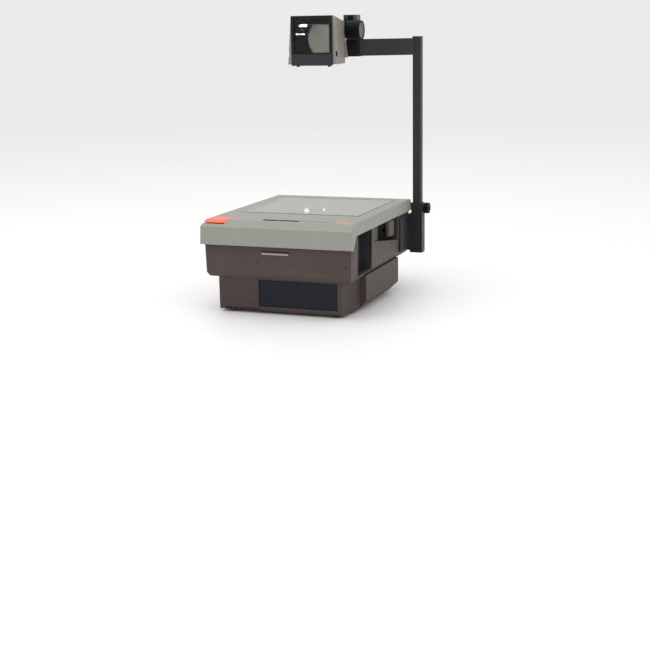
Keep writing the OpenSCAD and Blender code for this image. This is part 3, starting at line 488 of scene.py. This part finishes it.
def tube(mesh, path, radius, sides=8):
    """A round rod along a path, in metres."""
    rings = []
    side = Vector((0.3, 0.5, 0.8))
    for i, point in enumerate(path):
        along = (path[min(i + 1, len(path) - 1)] - path[max(i - 1, 0)]).normalized()
        side = (side - along * side.dot(along)).normalized()
        other = along.cross(side)
        angles = [2 * math.pi * k / sides for k in range(sides)]
        rings.append([mesh.verts.new(point + radius * (math.cos(a) * side + math.sin(a) * other))
                      for a in angles])
    for a, b in zip(rings, rings[1:]):
        for k in range(sides):
            mesh.faces.new((a[k], a[(k + 1) % sides], b[(k + 1) % sides], b[k]))
    mesh.faces.new(rings[0][::-1])
    mesh.faces.new(rings[-1])


def wire(name, points, radius, body, look, steps=8):
    mesh = bmesh.new()
    tube(mesh, smooth_path([at(*p) for p in points], steps), radius * MM)
    bmesh.ops.recalc_face_normals(mesh, faces=mesh.faces)
    smooth_by_angle(mesh, 60)
    return finish_piece(mesh, name, "black_plastic", body, look)


def wound_look(name, colour, gap):
    """Varnished wire laid turn on turn, up the Z axis."""
    look = Look(name)
    turns = look.node("ShaderNodeTexWave", {"bands_direction": "Z"}, Vector=look.coords, Scale=gap,
                      Distortion=0.4, Detail=1.0).outputs["Fac"]
    look.set(Base_Color=look.mix(turns, shade(colour, 0.35), shade(colour, 1.1)), Metallic=0.7,
             Roughness=look.span(look.noise(60, 4), 0.3, 0.45), Normal=look.bump(turns, 0.6, 0.0006))
    return look.material


COPPER = wound_look("copper_winding", (0.62, 0.26, 0.12), 420)
TAPE = moulded("winding_tape", (0.62, 0.52, 0.16), 0.4, 0.1, 900, 0.06, 1.1, 0.4)
TUNGSTEN = metal("tungsten", (0.42, 0.42, 0.44), 0.3, (2000, 2000, 2000))
WIRE_COLOURS = {"wire_brown": (0.10, 0.035, 0.015), "wire_blue": (0.02, 0.07, 0.30),
                "wire_white": (0.55, 0.54, 0.50), "wire_green": (0.03, 0.18, 0.04)}
WIRES = {name: moulded(name, colour, 0.45, 0.05, 1500, 0.05, 1.1, 0.4)
         for name, colour in WIRE_COLOURS.items()}


def boxed_ring(name, lo, hi, wall, body, slot, look, round_by=2.0):
    """A rectangular sleeve about the Z axis, from its outer corners and wall, in millimetres."""
    mesh = bmesh.new()
    loops = []
    for z in (lo[2], hi[2]):
        for inset in (0, wall):
            x0, y0, x1, y1 = lo[0] + inset, lo[1] + inset, hi[0] - inset, hi[1] - inset
            corners = ((x0, y0), (x1, y0), (x1, y1), (x0, y1))
            loops.append([mesh.verts.new(at(x, y, z)) for x, y in corners])
    low_out, low_in, top_out, top_in = loops
    for a, b in ((low_out, top_out), (top_in, low_in), (top_out, top_in), (low_in, low_out)):
        for k in range(4):
            mesh.faces.new((a[k], a[(k + 1) % 4], b[(k + 1) % 4], b[k]))
    uprights = [e for e in mesh.edges if abs(e.verts[0].co.z - e.verts[1].co.z) > 1e-4
                and any(v in low_out for v in e.verts)]
    bmesh.ops.bevel(mesh, geom=uprights, offset=round_by * MM, segments=4, profile=0.5,
                    affect="EDGES")
    bmesh.ops.recalc_face_normals(mesh, faces=mesh.faces)
    smooth_by_angle(mesh, 32)
    return finish_piece(mesh, name, slot, body, look)


def box_mm(node):
    """The corners of a node's box, in millimetres in the cover's frame."""
    return [(corner - ORIGIN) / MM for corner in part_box(node)]


core_lo, core_hi = box_mm("transformer")
CORE_LEG = 30
YOKE = 12
WINDING_PROUD, WINDING_WALL = 3.6, 3.5
TAPE_PROUD, TAPE_WALL, TAPE_WIDTH = 3.9, 3.8, 3


def leg_sleeve(name, x0, z0, z1, proud, wall, look):
    """A sleeve round a leg of the transformer's core, a little proud of it."""
    boxed_ring(name, (x0 - proud, core_lo.y - proud, z0),
               (x0 + CORE_LEG + proud, core_hi.y + proud, z1), wall, "base",
               "transformer_iron", look)


for side, leg_x in (("left", core_lo.x), ("right", core_hi.x - CORE_LEG)):
    low, high = core_lo.z + YOKE, core_hi.z - YOKE
    leg_sleeve("winding_" + side, leg_x, low + 1, high - 1, WINDING_PROUD, WINDING_WALL, COPPER)
    for end, z in (("low", low), ("top", high - TAPE_WIDTH)):
        leg_sleeve("tape_%s_%s" % (side, end), leg_x, z, z + TAPE_WIDTH, TAPE_PROUD, TAPE_WALL,
                   TAPE)

# The wires lie on the housing's floor, go down its well into the base, and end at the windings.
coil_top = core_hi.z - YOKE - 2
MAINS_R, EARTH_R, THIN_R = 1.1, 1.2, 0.9
wire("wire_mains_brown", [(64, 407, 104), (60, 399, 97), (38, 388, 87), (-10, 376, 85.3),
                          (-70, 368, 85.3), (-112, 353, 85.6), (-123, 338, 86), (-129, 320, 78),
                          (-136, 298, 58), (-139, 270, 42), (-139, 190, 36), (-136, 148, 38),
                          (-126, 124, 44), (-112, 113, coil_top)],
     MAINS_R, "base", WIRES["wire_brown"])
wire("wire_mains_blue", [(72, 407, 104), (68, 399, 96), (42, 392, 87), (-10, 380, 85.3),
                         (-72, 372, 85.3), (-116, 357, 85.6), (-128, 339, 86), (-133, 320, 76),
                         (-139, 298, 54), (-142, 270, 38), (-142, 190, 32), (-139, 150, 34),
                         (-124, 122, 38), (-104, 113, coil_top - 6)],
     MAINS_R, "base", WIRES["wire_blue"])
wire("wire_earth", [(67, 407, 112), (66, 400, 118), (60, 397, 128), (54, 404, 138),
                    (52, 427.3, 142)], EARTH_R, "base", WIRES["wire_green"])
wire("wire_fan", [(-58, 402, 104), (-55, 397, 97), (-62, 390, 88), (-86, 375, 85.2),
                  (-108, 359, 86.4), (-122, 340, 88)], THIN_R, "base", WIRES["wire_white"])

lamp_lo, lamp_hi = box_mm("lamps")
BULB_R = 6.5
lamp_level = (lamp_lo.z + lamp_hi.z) / 2
COIL_TURNS, COIL_STEPS, COIL_R = 7, 12, 1.5
COIL_START, COIL_LENGTH = -6, 11
FILAMENT_R = 0.28


def filament(name, y):
    """A lamp's coiled filament and its two leads, along X at a given depth."""
    count = COIL_TURNS * COIL_STEPS
    helix = [at(COIL_START + COIL_LENGTH * i / count,
                y + COIL_R * math.cos(2 * math.pi * i / COIL_STEPS),
                lamp_level + COIL_R * math.sin(2 * math.pi * i / COIL_STEPS))
             for i in range(count + 1)]
    lead_in = [at(-22, y + 3, lamp_level), at(-12, y + 2.6, lamp_level)]
    lead_out = [at(6, y - 2.6, lamp_level), at(-10, y - 2.8, lamp_level),
                at(-22, y - 3, lamp_level)]
    mesh = bmesh.new()
    tube(mesh, lead_in + helix + lead_out, FILAMENT_R * MM, 6)
    bmesh.ops.recalc_face_normals(mesh, faces=mesh.faces)
    smooth_by_angle(mesh, 60)
    finish_piece(mesh, name, "bare_steel", "lamp_changer", TUNGSTEN)


for number, lamp_y in (("one", lamp_lo.y + BULB_R), ("two", lamp_hi.y - BULB_R)):
    filament("filament_" + number, lamp_y)
    for colour, side in (("wire_white", 4), ("wire_brown", -4)):
        lead_y = lamp_y + side
        wire("lead_%s_%s" % (number, colour),
             [(-56, lead_y, lamp_level - 3), (-61, lead_y, lamp_level - 5),
              (-62, lead_y - 3, lamp_level - 14), (-60, lead_y - 8, lamp_level - 22)],
             THIN_R, "lamp_changer", WIRES[colour])


# ------------------------------------------------------------------ floor
FLOOR_R = 40
FLOOR_GAP = 0.2 * MM


def floor():
    mesh = bmesh.new()
    bmesh.ops.create_circle(mesh, cap_ends=True, segments=96, radius=FLOOR_R)
    data = bpy.data.meshes.new("floor")
    mesh.to_mesh(data)
    mesh.free()
    plane = bpy.data.objects.new("floor", data)
    plane.location.z = cad_box[0][2] - FLOOR_GAP
    scene.collection.objects.link(plane)
    look = Look("floor_paint")
    tint = look.mix(look.span(look.noise(2, 3), 0, 1), (0.92, 0.92, 0.91, 1), (0.94, 0.94, 0.93, 1))
    look.set(Base_Color=tint, Roughness=0.5)
    data.materials.append(look.material)


floor()
